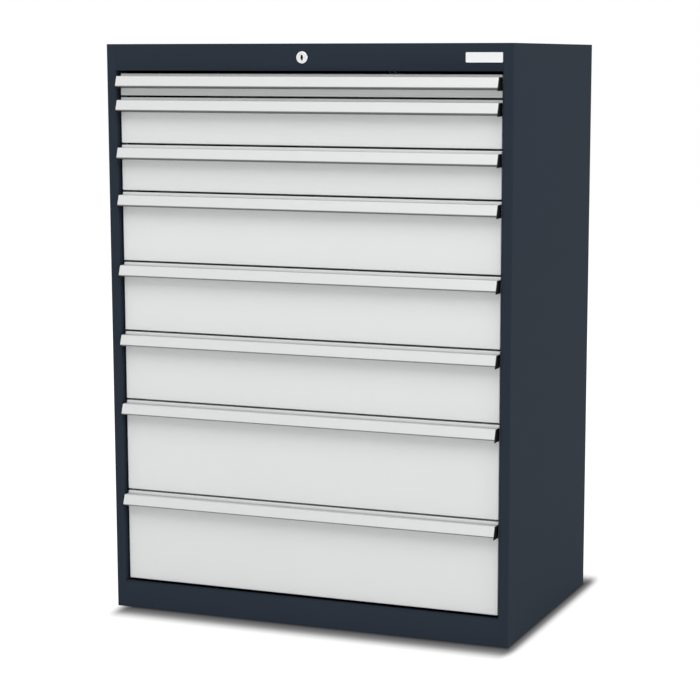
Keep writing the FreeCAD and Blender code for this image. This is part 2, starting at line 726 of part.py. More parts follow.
def lock_bar():
    """Upright bar behind the drawers with a slot for the peg and a hook for each catch."""
    body = new_body("lock_bar", BAR_MIDDLE, BAR_FACE, LOCK_AXIS)
    slot_half_height = "(peg_radius + %s)" % PEG_PLAY
    slot_half_width = "((lever_reach - %s) / 2 + peg_radius + peg_clearance)" % PEG_NEAR
    hook_back = "%s + catch_reach - catch_sheet - hook_gap - %s" % (TRAY_REAR, BAR_FACE)
    hook_drop = "catch_rise - catch_lip - hook_gap - 2 * %s - %s" % (PEG_SWING, LOCK_AXIS)
    foot = "%s + %s - catch_sheet - bar_end" % (base_of(DRAWERS[-1]), hook_drop)
    plate = new_sketch(body, "XZ_Plane")
    rectangle(plate, "0 - bar_width / 2", foot,
              "bar_width / 2", "%s + bar_end - %s" % (slot_half_height, PEG_SWING))
    pad(body, plate, "bar_thickness", backwards=True)
    slot = new_sketch(body, "XZ_Plane")
    rectangle(slot, "0 - " + slot_half_width, "0 - %s - %s" % (slot_half_height, PEG_SWING),
              slot_half_width, "%s - %s" % (slot_half_height, PEG_SWING))
    pocket(body, slot, "bar_thickness")
    for number in DRAWERS:
        hook = new_sketch(body, "YZ_Plane", "0 - catch_width / 2")
        top = "%s + %s" % (base_of(number), hook_drop)
        outline(hook, [
            ("0", top),
            (hook_back, top),
            (hook_back, top + " + hook_lip"),
            (hook_back + " - catch_sheet", top + " + hook_lip"),
            (hook_back + " - catch_sheet", top + " - catch_sheet"),
            ("0", top + " - catch_sheet"),
        ])
        pad(body, hook, "catch_width")
    return body


def lock_bar_guides():
    """Hat-shaped guides that hold the lock bar to the rear panel."""
    body = new_body("lock_bar_guides", BAR_MIDDLE, "cabinet_depth / 2 - housing_sheet")
    reach = "bar_width / 2 + guide_gap"
    depth = "0 - bar_setback - bar_thickness - guide_gap"
    half = [
        (reach + " + guide_foot", "0"),
        (reach + " + guide_foot", "0 - guide_sheet"),
        (reach + " + guide_sheet", "0 - guide_sheet"),
        (reach + " + guide_sheet", depth + " - guide_sheet"),
    ]
    inner_half = [(reach, depth), (reach, "0")]
    other_half = [("0 - (%s)" % across, back) for across, back in reversed(half)]
    other_inner = [("0 - (%s)" % across, back) for across, back in reversed(inner_half)]
    for number in (8, 5, 2):
        foot = "%s + front_height_%d - guide_drop - guide_height" % (base_of(number), number)
        drawing = new_sketch(body, "XY_Plane", foot)
        outline(drawing, half + other_half + other_inner + inner_half)
        pad(body, drawing, "guide_height")
    return body


def rod_bracket():
    """Angle under the top panel that carries the rear of the rod."""
    body = new_body("rod_bracket", "0 - bracket_width / 2", LEVER_FACE + " - bracket_gap",
                    HEIGHT + " - housing_sheet")
    drawing = new_sketch(body, "YZ_Plane")
    drop = "housing_sheet - lock_drop - bracket_below"
    outline(drawing, [
        ("0", "0"),
        ("0", drop),
        ("0 - bracket_sheet", drop),
        ("0 - bracket_sheet", "0 - bracket_sheet"),
        ("0 - bracket_foot", "0 - bracket_sheet"),
        ("0 - bracket_foot", "0"),
    ])
    pad(body, drawing, "bracket_width")
    hole = new_sketch(body, "XZ_Plane")
    circle(hole, "bracket_width / 2", "housing_sheet - lock_drop", "rod_side / sqrt(2) + rod_clearance")
    pocket(body, hole, "bracket_sheet", backwards=True)
    return body


sub_parts = [
    side_panel("left_side_panel", -1),
    side_panel("right_side_panel", 1),
    rear_panel(),
    pan("top_panel", "top_flange", open_below=True),
    base_panel(),
    lock_rail(),
    rail("plinth_rail", "plinth_height", fold_at_top=True),
    uprights("left_uprights", -1),
    uprights("right_uprights", 1),
    cabinet_runners("left_cabinet_runners", -1),
    cabinet_runners("right_cabinet_runners", 1),
    badge_plate(),
    lock_barrel(),
    lock_nut(),
    lock_plug(),
    lock_rod(),
    lock_lever(),
    rod_bracket(),
    lock_bar(),
    lock_bar_guides(),
]

carriage = right_carriage()
rollers = right_rollers()
carriage_pieces = [carriage, rollers, mirrored_copy(carriage), mirrored_copy(rollers)]
for number in DRAWERS:
    sub_parts.append(drawer_front(number))
    sub_parts.append(drawer_tray(number))
    sub_parts.append(drawer_handle(number))
    sub_parts.append(drawer_handle_caps(number))
    sub_parts.append(group("drawer_%d_carriages" % number, carriage_pieces,
                           FRONT_REAR + " + runner_setback + carriage_setback",
                           base_of(number) + " + runner_rise"))

doc.recompute()
for item in doc.Objects:
    if "Invalid" in item.State or "Error" in item.State:
        raise RuntimeError("%s did not build: %s" % (item.Label, item.State))
for piece in sub_parts:
    if piece.Shape.isNull() or not piece.Shape.isValid():
        raise RuntimeError("%s has no sound shape" % piece.Label)

os.makedirs("parts", exist_ok=True)
for piece in sub_parts:
    piece.Shape.exportStep("parts/%s.step" % piece.Label)
    print("%-24s %2d solids %10.0f mm3" % (piece.Label, len(piece.Shape.Solids), piece.Shape.Volume))
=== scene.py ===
"""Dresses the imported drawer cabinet: housing, eight drawers, strip grips and one central lock."""

import json
import math

import bmesh
import bpy
from mathutils import Matrix, Vector


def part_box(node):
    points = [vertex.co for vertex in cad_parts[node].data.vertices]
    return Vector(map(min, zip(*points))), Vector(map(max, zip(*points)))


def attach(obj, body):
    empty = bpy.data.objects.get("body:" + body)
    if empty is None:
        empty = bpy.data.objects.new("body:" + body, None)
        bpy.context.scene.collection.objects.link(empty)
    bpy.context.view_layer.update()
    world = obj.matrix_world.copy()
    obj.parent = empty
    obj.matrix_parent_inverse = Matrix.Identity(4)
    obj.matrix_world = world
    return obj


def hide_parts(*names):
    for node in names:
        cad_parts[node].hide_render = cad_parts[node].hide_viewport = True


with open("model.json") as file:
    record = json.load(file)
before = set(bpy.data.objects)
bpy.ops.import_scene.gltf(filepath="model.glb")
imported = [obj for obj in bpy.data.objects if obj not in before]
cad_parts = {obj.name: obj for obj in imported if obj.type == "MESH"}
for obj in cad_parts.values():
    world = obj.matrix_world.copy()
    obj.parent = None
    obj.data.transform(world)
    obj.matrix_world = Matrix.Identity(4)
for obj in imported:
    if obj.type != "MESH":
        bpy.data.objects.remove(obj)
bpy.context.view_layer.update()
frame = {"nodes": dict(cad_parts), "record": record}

bl_info = {
    "name": "Drawer Cabinet",
    "version": (1, 0, 0),
    "blender": (4, 5, 0),
    "location": "View3D > Sidebar > Cabinet",
    "description": "Builds the looks of a steel drawer cabinet round its packed model",
    "category": "Object",
}

RECORD = frame["record"]
BODIES = RECORD["behaviour"]["bodies"]
BODY_OF = {node: body for body, members in BODIES.items() for node in members}
SLOT_OF = {part["node"]: part["material_slot"] for part in RECORD["subparts"]}
DRAWERS = range(1, 9)  # Numbered from the top

MM = 0.001
WELD = 1e-6  # Corners nearer than this are one, in metres
FLAT = math.radians(0.5)  # Faces that turn less than this are one
SHARP = math.radians(30)  # Edges that turn more than this are rounded

BLACK = (0, 0, 0, 1)
WHITE = (1, 1, 1, 1)
# Dark grey of the painted shade under the grips' lips and on their ledges
PAINTED_SHADE_GREY = (0.06, 0.06, 0.06, 1)
# Near black of the painted shade inside the keyhole
KEYHOLE_SHADE = (0.008, 0.008, 0.008, 1)

# How light the floor's painted shadow is, from the cabinet's foot to where it ends
FOOT_SHADE = [(0, 0.04), (0.13, 0.12), (0.26, 0.18), (0.39, 0.32), (0.52, 0.56), (0.65, 0.76),
              (0.78, 0.9), (0.9, 0.965), (1, 1)]
LEFT_FADE = 0.8  # How much of the dark edge is over at the left wall, where more light comes in
OWN_COLOUR = 0.35  # How much of the floor's own lit colour the camera sees besides its glow
MIRRORED_GLOW = 0.25  # How much the floor glows in mirrors
FLOOR_HALF = 12  # Half the floor's side
FLOOR_DROP = 0.4 * MM  # The floor lies so far under the cabinet

# Each lamp's name, place, the point it faces, its width and height, and the setting of its power
LAMPS = (
    ("overhead lamp", (0.3, -3.4, 4.6), (0, -0.25, 0.6), (4, 3), "key"),
    ("front lamp", (-0.8, -5.0, 0.9), (0, -0.25, 0.4), (4, 1.6), "fill"),
    ("side lamp", (4.4, -0.6, 1.6), (0.45, 0, 0.6), (3, 2.4), "side"),
    ("rear lamp", (-1.4, 4.4, 2.8), (0, 0.25, 0.7), (3, 2.4), "rear"),
)
FILM_WIDTH = 36  # In millimetres


# Node trees


class Signal:
    """A node's socket that can stand in a sum."""

    def __init__(self, tree, socket):
        self.tree = tree
        self.socket = socket

    def _maths(self, operation, first, second):
        return self.tree.node("ShaderNodeMath", {"operation": operation}, {0: first, 1: second})

    def __add__(self, other):
        return self._maths("ADD", self, other)

    __radd__ = __add__

    def __sub__(self, other):
        return self._maths("SUBTRACT", self, other)

    def __rsub__(self, other):
        return self._maths("SUBTRACT", other, self)

    def __mul__(self, other):
        return self._maths("MULTIPLY", self, other)

    __rmul__ = __mul__

    def __truediv__(self, other):
        return self._maths("DIVIDE", self, other)

    def __neg__(self):
        return self._maths("MULTIPLY", self, -1)

    def at_least(self, other):
        return self._maths("MAXIMUM", self, other)

    def power(self, other):
        return self._maths("POWER", self, other)

    def swing(self, size):
        """A pattern that goes from 0 to 1, as a swing of this size about nought."""
        return (self - 0.5) * size

    def beside(self, out):
        """Another output of the same node."""
        return Signal(self.tree, self.socket.node.outputs[out])


class Tree:
    """Adds nodes to a node tree."""

    def __init__(self, tree):
        self.tree = tree

    def node(self, kind, settings=None, sockets=None, out=0):
        """Add a node: its settings first, then the values or links of its sockets."""
        made = self.tree.nodes.new(kind)
        for name, value in (settings or {}).items():
            if name == "stops":
                self._stops(made.color_ramp, value)
            elif name == "choices":
                while len(made.index_switch_items) < value:
                    made.index_switch_items.new()
            else:
                setattr(made, name, value)
        for key, value in (sockets or {}).items():
            for entry in value if isinstance(value, list) else [value]:
                if isinstance(entry, Signal):
                    self.tree.links.new(entry.socket, made.inputs[key])
                else:
                    made.inputs[key].default_value = entry
        return Signal(self, made.outputs[out]) if len(made.outputs) else made

    @staticmethod
    def _stops(ramp, stops):
        while len(ramp.elements) < len(stops):
            ramp.elements.new(1)
        for element, (place, grey) in zip(ramp.elements, stops):
            element.position = place
            element.color = (grey, grey, grey, 1)

    def seen_white(self):
        """Whether a ray comes from the camera, and whether it comes through a mirror or glass."""
        camera = self.node("ShaderNodeLightPath", out="Is Camera Ray")
        return camera, camera.beside("Is Glossy Ray").at_least(camera.beside("Is Transmission Ray"))


class Shader(Tree):
    """Builds the nodes of one material."""

    def __init__(self, name):
        self.material = bpy.data.materials.new(name)
        self.material.use_nodes = True
        super().__init__(self.material.node_tree)
        self.tree.nodes.clear()

    def place(self, stretch=(1, 1, 1)):
        """Object coordinates in metres, scaled down along the way that a pattern is drawn out."""
        where = self.node("ShaderNodeTexCoord", out="Object")
        if stretch == (1, 1, 1):
            return where
        return self.node("ShaderNodeMapping", sockets={"Vector": where, "Scale": stretch})

    def along(self, axis):
        """One of the object coordinates, in metres."""
        return self.node("ShaderNodeSeparateXYZ", sockets={"Vector": self.place()}, out=axis)

    def mark(self, name):
        """A mark that the mesh carries on its faces or points, and 0 where it has none."""
        return self.node("ShaderNodeAttribute", {"attribute_name": name}, out="Fac")

    def noise(self, where, scale, detail=2.0, roughness=0.5):
        return self.node("ShaderNodeTexNoise", sockets={
            "Vector": where, "Scale": scale, "Detail": detail, "Roughness": roughness}, out="Fac")

    def ramp(self, factor, stops):
        return self.node("ShaderNodeValToRGB", {"stops": stops}, {"Fac": factor})

    def between(self, factor, first, second):
        """Mix two colours."""
        return self.node("ShaderNodeMix", {"data_type": "RGBA"},
                         {0: factor, 6: first, 7: second}, out=2)

    def bump(self, height, strength, distance):
        return self.node("ShaderNodeBump", sockets={
            "Height": height, "Strength": strength, "Distance": distance})

    def surface(self, **sockets):
        """Close the material with a Principled shader. Words in socket names are joined by _."""
        named = {key.replace("_", " "): value for key, value in sockets.items()}
        shader = self.node("ShaderNodeBsdfPrincipled", sockets=named)
        self.node("ShaderNodeOutputMaterial", sockets={"Surface": shader})
        return self.material


class Recipe(Tree):
    """Builds a Geometry Nodes tree whose sizes are named inputs, and makes meshes with it."""

    KINDS = {int: "NodeSocketInt", float: "NodeSocketFloat"}

    def __init__(self, name, **sizes):
        super().__init__(bpy.data.node_groups.new(name, "GeometryNodeTree"))
        self.defaults = sizes
        face = self.tree.interface
        face.new_socket("Shape", in_out="INPUT", socket_type="NodeSocketGeometry")
        self.identifiers = {}
        for label, value in sizes.items():
            socket = face.new_socket(label, in_out="INPUT", socket_type=self.KINDS[type(value)])
            self.identifiers[label] = socket.identifier
        face.new_socket("Geometry", in_out="OUTPUT", socket_type="NodeSocketGeometry")
        self.entry = self.tree.nodes.new("NodeGroupInput")

    def __getitem__(self, label):
        return Signal(self, self.entry.outputs[label])

    def vector(self, x=0.0, y=0.0, z=0.0):
        return self.node("ShaderNodeCombineXYZ", sockets={"X": x, "Y": y, "Z": z})

    def close(self, geometry, slot):
        """End the tree in real geometry with its finish."""
        real = self.node("GeometryNodeRealizeInstances", sockets={"Geometry": geometry})
        done = self.node("GeometryNodeSetMaterial",
                         sockets={"Geometry": real, "Material": material(slot)})
        self.node("NodeGroupOutput", sockets={"Geometry": done})

    def grow(self, name, shape=None, **sizes):
        """Run the tree on a mesh and return what it makes as a plain mesh."""
        carrier = bpy.data.objects.new(name, shape or bpy.data.meshes.new(name))
        bpy.context.scene.collection.objects.link(carrier)
        modifier = carrier.modifiers.new("recipe", "NODES")
        modifier.node_group = self.tree
        for label, value in {**self.defaults, **sizes}.items():
            modifier[self.identifiers[label]] = value
        graph = bpy.context.evaluated_depsgraph_get()
        mesh = bpy.data.meshes.new_from_object(carrier.evaluated_get(graph))
        carrier.modifiers.remove(modifier)
        bpy.data.objects.remove(carrier)
        return mesh


# Finishes


def shades(colour, spread):
    """A darker and a lighter version of a colour."""
    return [tuple(part * (1 + way * spread) for part in colour[:3]) + (1,) for way in (-1, 1)]


def powder_coat(name, colour, roughness, specular, spread):
    """Baked powder paint: cloudiness, fine grain, orange peel, a painted highlight on rounded
    edges, and a painted shade where a grip is marked.
    """
    coat = Shader(name)
    where = coat.place()
    cloud = coat.noise(where, scale=2.4, detail=3)
    grain = coat.noise(where, scale=2400, detail=1)
    peel = coat.noise(where, scale=380)
    edge, dirt = coat.mark("edge"), coat.mark("dirt")
    dark, light = shades(colour, spread)
    # Rounded strips carry the edge mark and are painted lighter: a painted highlight
    paint = coat.between(cloud * 0.6 + grain * 0.4 + edge * 0.22, dark, light)
    # Where a grip is marked, the paint turns dark grey and duller: painted shade under the lip and
    # on the ledge
    return coat.surface(
        Base_Color=coat.between(dirt, paint, PAINTED_SHADE_GREY),
        Roughness=roughness + cloud.swing(0.1) + grain.swing(0.12) - 0.06 * edge + 0.3 * dirt,
        Specular_IOR_Level=specular,
        Normal=coat.bump(peel * 0.7 + grain * 0.3, strength=0.16, distance=0.5 * MM),
    )


def zinc_plate(name, colour):
    """Zinc-plated strip: rolling streaks along its length, faint spangle and handling marks."""
    zinc = Shader(name)
    streaks = zinc.noise(zinc.place(stretch=(1, 0.02, 1)), scale=900, detail=3)
    spangle = zinc.noise(zinc.place(), scale=60, detail=4, roughness=0.65)
    handling = zinc.noise(zinc.place(), scale=18, detail=5, roughness=0.7)
    marks = zinc.ramp(handling, [(0.52, 0), (0.7, 1)])
    dark, light = shades(colour, spread=0.16)
    return zinc.surface(
        Base_Color=zinc.between(spangle * 0.6 + streaks * 0.4, dark, light),
        Metallic=1.0,
        Roughness=0.3 + 0.16 * streaks + 0.1 * spangle + 0.08 * marks,
        Normal=zinc.bump(streaks, strength=0.1, distance=0.2 * MM),
    )


def nickel_plate(name, colour):
    """Satin nickel of the lock, finely turned, with the bore behind the keyhole painted near black
    as a painted shade.
    """
    nickel = Shader(name)
    haze = nickel.noise(nickel.place(), scale=240, detail=3)
    lines = nickel.noise(nickel.place(stretch=(1, 0.05, 1)), scale=3200)
    dark, light = shades(colour, spread=0.06)
    # The bore mark paints the keyhole's inside near black and dull: painted shade
    bore = nickel.mark("bore")
    return nickel.surface(
        Base_Color=nickel.between(bore, nickel.between(haze, dark, light), KEYHOLE_SHADE),
        Metallic=1 - bore,
        Roughness=0.13 + 0.1 * haze + 0.07 * lines + 0.6 * bore,
        Normal=nickel.bump(lines, strength=0.08, distance=0.1 * MM),
    )


def moulded_plastic(name, colour, roughness, relief):
    """Injection-moulded plastic with a spark-eroded grain."""
    plastic = Shader(name)
    where = plastic.place()
    grain = plastic.noise(where, scale=2200)
    cloud = plastic.noise(where, scale=30)
    dark, light = shades(colour, spread=0.18)
    return plastic.surface(
        Base_Color=plastic.between(grain * 0.5 + cloud * 0.5, dark, light),
        Roughness=roughness + grain.swing(0.12) + cloud.swing(0.06),
        Specular_IOR_Level=0.2,
        Normal=plastic.bump(grain, strength=relief, distance=0.3 * MM),
    )


def blank_plate(name, colour):
    """Light plate with a faint satin brush."""
    plate = Shader(name)
    brush = plate.noise(plate.place(stretch=(0.03, 1, 1)), scale=1500)
    cloud = plate.noise(plate.place(), scale=40)
    dark, light = shades(colour, spread=0.03)
    return plate.surface(
        Base_Color=plate.between(brush * 0.5 + cloud * 0.5, dark, light),
        Roughness=0.34 + 0.1 * brush,
        Normal=plate.bump(brush, strength=0.05, distance=0.1 * MM),
    )


def white_floor(name, colour, glow, reach_front, reach_side):
    """Pale floor, white to the camera, with a soft painted shadow where the cabinet stands on it.
    """
    floor = Shader(name)
    camera, mirrored = floor.seen_white()
    dark, light = shades(colour, spread=0.01)
    plain = floor.between(floor.noise(floor.place(), scale=1.5, detail=3), dark, light)
    left, front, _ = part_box("left_side_panel")[0]
    right, rear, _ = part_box("right_side_panel")[1]
    x, y = floor.along("X"), floor.along("Y")
    past_left = (left + reach_side - x) * LEFT_FADE
    aside = past_left.at_least(x - right).at_least(0) / reach_side
    before = (front - y).at_least(y - rear).at_least(0) / reach_front
    distance = (aside.power(2) + before.power(2)).power(0.5)
    # Painted shadow: the floor darkens by its distance from the cabinet's foot
    shade = floor.ramp(distance, FOOT_SHADE)
    lift = shade * camera * glow + mirrored * MIRRORED_GLOW
    return floor.surface(
        Base_Color=floor.between(camera * (1 - shade * OWN_COLOUR), plain, BLACK),
        Roughness=1.0,
        Specular_IOR_Level=0.0,
        Emission_Color=floor.between(lift, BLACK, WHITE),
        Emission_Strength=1.0,
    )


# How each material slot of the record is finished: the maker, its colour's setting and its traits
FINISHES = {
    "housing_paint": (powder_coat, "housing",
                      {"roughness": 0.55, "specular": 0.012, "spread": 0.12}),
    "front_paint": (powder_coat, "fronts", {"roughness": 0.42, "specular": 0.4, "spread": 0.02}),
    "tray_paint": (powder_coat, "trays", {"roughness": 0.45, "specular": 0.4, "spread": 0.03}),
    "handle_profile": (powder_coat, "grips",
                       {"roughness": 0.34, "specular": 0.45, "spread": 0.02}),
    "cap_plastic": (moulded_plastic, "caps", {"roughness": 0.5, "relief": 0.2}),
    "lock_chrome": (nickel_plate, "lock", {}),
    "blank_plate": (blank_plate, "plate", {}),
    "zinc_steel": (zinc_plate, "zinc", {}),
}


def material(slot):
    """The finish of a material slot, made once."""
    name = slot + "_finish"
    if name in bpy.data.materials:
        return bpy.data.materials[name]
    finish, colour, traits = FINISHES[slot]
    return finish(name, getattr(bpy.context.scene.cabinet_colours, colour), **traits)


# Mesh work


def welded_copy(node):
    """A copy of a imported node's mesh with its loose triangles joined into whole faces."""
    shape = bmesh.new()
    shape.from_mesh(frame["nodes"][node].data)
    bmesh.ops.remove_doubles(shape, verts=shape.verts, dist=WELD)
    bmesh.ops.dissolve_limit(shape, angle_limit=FLAT, verts=shape.verts, edges=shape.edges)
    return shape


def soften(shape, width, segments=2, keep=lambda edge: False):
    """Round every sharp edge but the kept ones, and mark the rounded strips, which the paint
    lightens as a painted highlight.
    """
    mark = shape.faces.layers.float.new("edge")
    sharp = [edge for edge in shape.edges if len(edge.link_faces) == 2
             and edge.calc_face_angle() > SHARP and not keep(edge)]
    rounded = bmesh.ops.bevel(shape, geom=sharp, offset=width, offset_type="OFFSET",
                              segments=segments, profile=0.5, affect="EDGES", clamp_overlap=True)
    for face in rounded["faces"]:
        face[mark] = 1
    return shape


def turned(profile, segments):
    """A shape turned about the X axis from a closed profile of (along, radius) points."""
    shape = bmesh.new()
    rings = []
    for step in range(segments):
        turn = 2 * math.pi * step / segments
        rings.append([shape.verts.new((along, radius * math.cos(turn), radius * math.sin(turn)))
                      for along, radius in profile])
    for near, far in zip(rings, rings[1:] + rings[:1]):
        for here in range(len(profile)):
            there = (here + 1) % len(profile)
            on_axis = profile[here][1] == profile[there][1] == 0
            if not on_axis:
                shape.faces.new((near[here], near[there], far[there], far[here]))
    bmesh.ops.remove_doubles(shape, verts=shape.verts, dist=WELD)
    bmesh.ops.recalc_face_normals(shape, faces=shape.faces)
    return shape


def slab(low, high, axis, corner):
    """A flat plate with rounded corners, thick along one axis, and its face on the low side."""
    across, up = (index for index in range(3) if index != axis)
    steps = 6  # In each rounded corner
    shape = bmesh.new()
    outline = []
    for quarter, (right, top) in enumerate(((1, 1), (0, 1), (0, 0), (1, 0))):
        middle = [high[axis]] * 3
        middle[across] = high[across] - corner if right else low[across] + corner
        middle[up] = high[up] - corner if top else low[up] + corner
        for step in range(steps + 1):
            turn = math.radians(90 * quarter + 90 / steps * step)
            point = list(middle)
            point[across] += corner * math.cos(turn)
            point[up] += corner * math.sin(turn)
            outline.append(shape.verts.new(point))
    pushed = bmesh.ops.extrude_face_region(shape, geom=[shape.faces.new(outline)])["geom"]
    moved = [part for part in pushed if isinstance(part, bmesh.types.BMVert)]
    way = Vector()
    way[axis] = low[axis] - high[axis]
    bmesh.ops.translate(shape, vec=way, verts=moved)
    bmesh.ops.recalc_face_normals(shape, faces=shape.faces)
    return shape, [part for part in pushed if isinstance(part, bmesh.types.BMFace)]


def joined(name, *meshes):
    """One mesh out of several."""
    shape = bmesh.new()
    for mesh in meshes:
        shape.from_mesh(mesh)
    return mesh_of(name, shape)


def mesh_of(name, shape):
    """Turn mesh code into a mesh."""
    mesh = bpy.data.meshes.new(name)
    shape.to_mesh(mesh)
    shape.free()
    return mesh


def add_piece(name, mesh, body, slot, *nodes):
    """Put a mesh into the scene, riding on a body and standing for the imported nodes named."""
    mesh.materials.clear()
    mesh.materials.append(material(slot))
    mesh.shade_smooth()
    piece = bpy.data.objects.new(name, mesh)
    bpy.context.scene.collection.objects.link(piece)
    piece.modifiers.new("even shading", "WEIGHTED_NORMAL")
    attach(piece, body)
    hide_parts(*nodes)
    return piece


def stand_in(node, name, shape):
    """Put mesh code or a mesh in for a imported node."""
    mesh = mesh_of(name, shape) if isinstance(shape, bmesh.types.BMesh) else shape
    return add_piece(name, mesh, BODY_OF[node], SLOT_OF[node], node)


def dress(node, name, width, segments=2):
    """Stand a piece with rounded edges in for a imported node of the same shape."""
    return stand_in(node, name, soften(welded_copy(node), width, segments))


# Settings


class CabinetColours(bpy.types.PropertyGroup):
    """Colours of the cabinet's finishes."""

    housing: bpy.props.FloatVectorProperty(
        name="Housing", description="Powder paint of the housing", subtype="COLOR", size=3,
        min=0, max=1, default=(0.0242, 0.0326, 0.0458))
    fronts: bpy.props.FloatVectorProperty(
        name="Fronts", description="Powder paint of the drawer fronts", subtype="COLOR", size=3,
        min=0, max=1, default=(0.74, 0.755, 0.75))
    grips: bpy.props.FloatVectorProperty(
        name="Grips", description="Coating of the strip grips", subtype="COLOR", size=3,
        min=0, max=1, default=(0.68, 0.695, 0.69))
    trays: bpy.props.FloatVectorProperty(
        name="Trays", description="Powder paint of the trays", subtype="COLOR", size=3,
        min=0, max=1, default=(0.62, 0.64, 0.64))
    caps: bpy.props.FloatVectorProperty(
        name="Grip ends", description="Plastic of the caps on the grips", subtype="COLOR", size=3,
        min=0, max=1, default=(0.007, 0.007, 0.0075))
    lock: bpy.props.FloatVectorProperty(
        name="Lock", description="Plating of the lock", subtype="COLOR", size=3,
        min=0, max=1, default=(0.84, 0.84, 0.85))
    plate: bpy.props.FloatVectorProperty(
        name="Plate", description="Blank plate on the lock rail", subtype="COLOR", size=3,
        min=0, max=1, default=(0.80, 0.81, 0.82))
    zinc: bpy.props.FloatVectorProperty(
        name="Zinc", description="Plating of the runners and the lock's rods", subtype="COLOR",
        size=3, min=0, max=1, default=(0.60, 0.61, 0.63))
    floor: bpy.props.FloatVectorProperty(
        name="Floor", description="Colour of the floor", subtype="COLOR", size=3,
        min=0, max=1, default=(0.86, 0.86, 0.86))


class CabinetEdges(bpy.types.PropertyGroup):
    """Edge roundings of the cabinet's pieces, and the sheet that its fronts are folded from."""

    sheet: bpy.props.FloatProperty(
        name="Sheet edges", description="Rounding of cut sheet edges",
        subtype="DISTANCE", unit="LENGTH", min=0, default=0.4 * MM)
    front_bend: bpy.props.FloatProperty(
        name="Front bends", description="Outside rounding of the folded drawer fronts",
        subtype="DISTANCE", unit="LENGTH", min=0, default=1.8 * MM)
    front_sheet: bpy.props.FloatProperty(
        name="Front sheet", description="Sheet of the drawer fronts",
        subtype="DISTANCE", unit="LENGTH", min=0, default=1.5 * MM)
    post_bend: bpy.props.FloatProperty(
        name="Post bend", description="Outside rounding of the posts, which the rails run over",
        subtype="DISTANCE", unit="LENGTH", min=0, default=2.5 * MM)
    machined: bpy.props.FloatProperty(
        name="Machined edges", description="Rounding of the lock's turned and milled pieces",
        subtype="DISTANCE", unit="LENGTH", min=0, default=0.3 * MM)


class CabinetStage(bpy.types.PropertyGroup):
    """Camera and light."""

    lens: bpy.props.FloatProperty(
        name="Lens", description="Focal length in millimetres", min=1, default=104.79)
    spot: bpy.props.FloatVectorProperty(
        name="Camera place", description="Where the camera stands",
        subtype="TRANSLATION", unit="LENGTH", size=3, default=(1.6907, -4.1191, 1.187))
    aim: bpy.props.FloatVectorProperty(
        name="Camera turn", description="How the camera is turned",
        subtype="EULER", unit="ROTATION", size=3,
        default=(math.radians(90 - 9.101), 0, math.radians(21.665)))
    shift: bpy.props.FloatVectorProperty(
        name="Shift", description="Shift of the lens, in widths of the frame", size=2,
        default=(-0.0396, 0.0519))
    sky: bpy.props.FloatProperty(
        name="Room light", description="Even light from all round", min=0, default=0.53)
    key: bpy.props.FloatProperty(
        name="Overhead light", description="Power of the large lamp above the front",
        unit="POWER", min=0, default=119)
    fill: bpy.props.FloatProperty(
        name="Front light", description="Power of the lamp before the cabinet",
        unit="POWER", min=0, default=21)
    side: bpy.props.FloatProperty(
        name="Side light", description="Power of the lamp on the right",
        unit="POWER", min=0, default=50)
    rear: bpy.props.FloatProperty(
        name="Rear light", description="Power of the lamp behind the cabinet",
        unit="POWER", min=0, default=60)
    glow: bpy.props.FloatProperty(
        name="Floor glow", description="What the floor adds to reach white in the camera",
        min=0, default=0.9)
    # Reach of the floor's painted shadow
    shadow_reach: bpy.props.FloatVectorProperty(
        name="Shadow reach",
        description="How far the floor's dark edge reaches before the cabinet and beside it",
        subtype="TRANSLATION", unit="LENGTH", size=2, min=0, default=(0.118, 0.038))


# Operators


class CABINET_OT_housing(bpy.types.Operator):
    """Walls, pans, rear panel, the two front rails and the blank plate"""
    bl_idname = "cabinet.housing"
    bl_label = "Housing"

    def execute(self, context):
        edges = context.scene.cabinet_edges
        for node in ("left_side_panel", "right_side_panel", "rear_panel", "top_panel",
                     "base_panel"):
            dress(node, node + "_skin", edges.sheet)
        for node in ("lock_rail", "plinth_rail"):
            stand_in(node, node + "_skin", self.rail(node, edges))
        stand_in("badge_plate", "blank_badge", self.plate("badge_plate"))
        return {"FINISHED"}

    def rail(self, node, edges):
        """A front rail whose face runs out over the rounded corners of the posts."""
        face_depth, slack = 2 * MM, 0.1 * MM
        shape = welded_copy(node)
        low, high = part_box(node)
        for vertex in shape.verts:
            if vertex.co.y < low[1] + face_depth:
                for end in (low[0], high[0]):
                    if abs(vertex.co.x - end) < slack:
                        vertex.co.x += math.copysign(edges.post_bend, end)
        reach = abs(low[0]) - slack
        return soften(shape, edges.sheet,
                      keep=lambda edge: min(abs(vertex.co.x) for vertex in edge.verts) > reach)

    def plate(self, node):
        """Blank plate with rounded corners and a low rim."""
        corner, rim, step, rounding = 2 * MM, 1.1 * MM, 0.3 * MM, 0.15 * MM
        shape, face = slab(*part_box(node), axis=1, corner=corner)
        for width, depth in ((rim, 0), (step, step)):
            bmesh.ops.inset_region(shape, faces=face, thickness=width, depth=-depth)
        return soften(shape, rounding)


class CABINET_OT_uprights(bpy.types.Operator):
    """Slotted uprights and the fixed runners on them"""
    bl_idname = "cabinet.uprights"
    bl_label = "Uprights and fixed runners"

    def execute(self, context):
        edges = context.scene.cabinet_edges
        for side in ("left", "right"):
            dress(side + "_uprights", side + "_slotted_uprights", edges.sheet)
            dress(side + "_cabinet_runners", side + "_fixed_runners", edges.sheet)
        return {"FINISHED"}


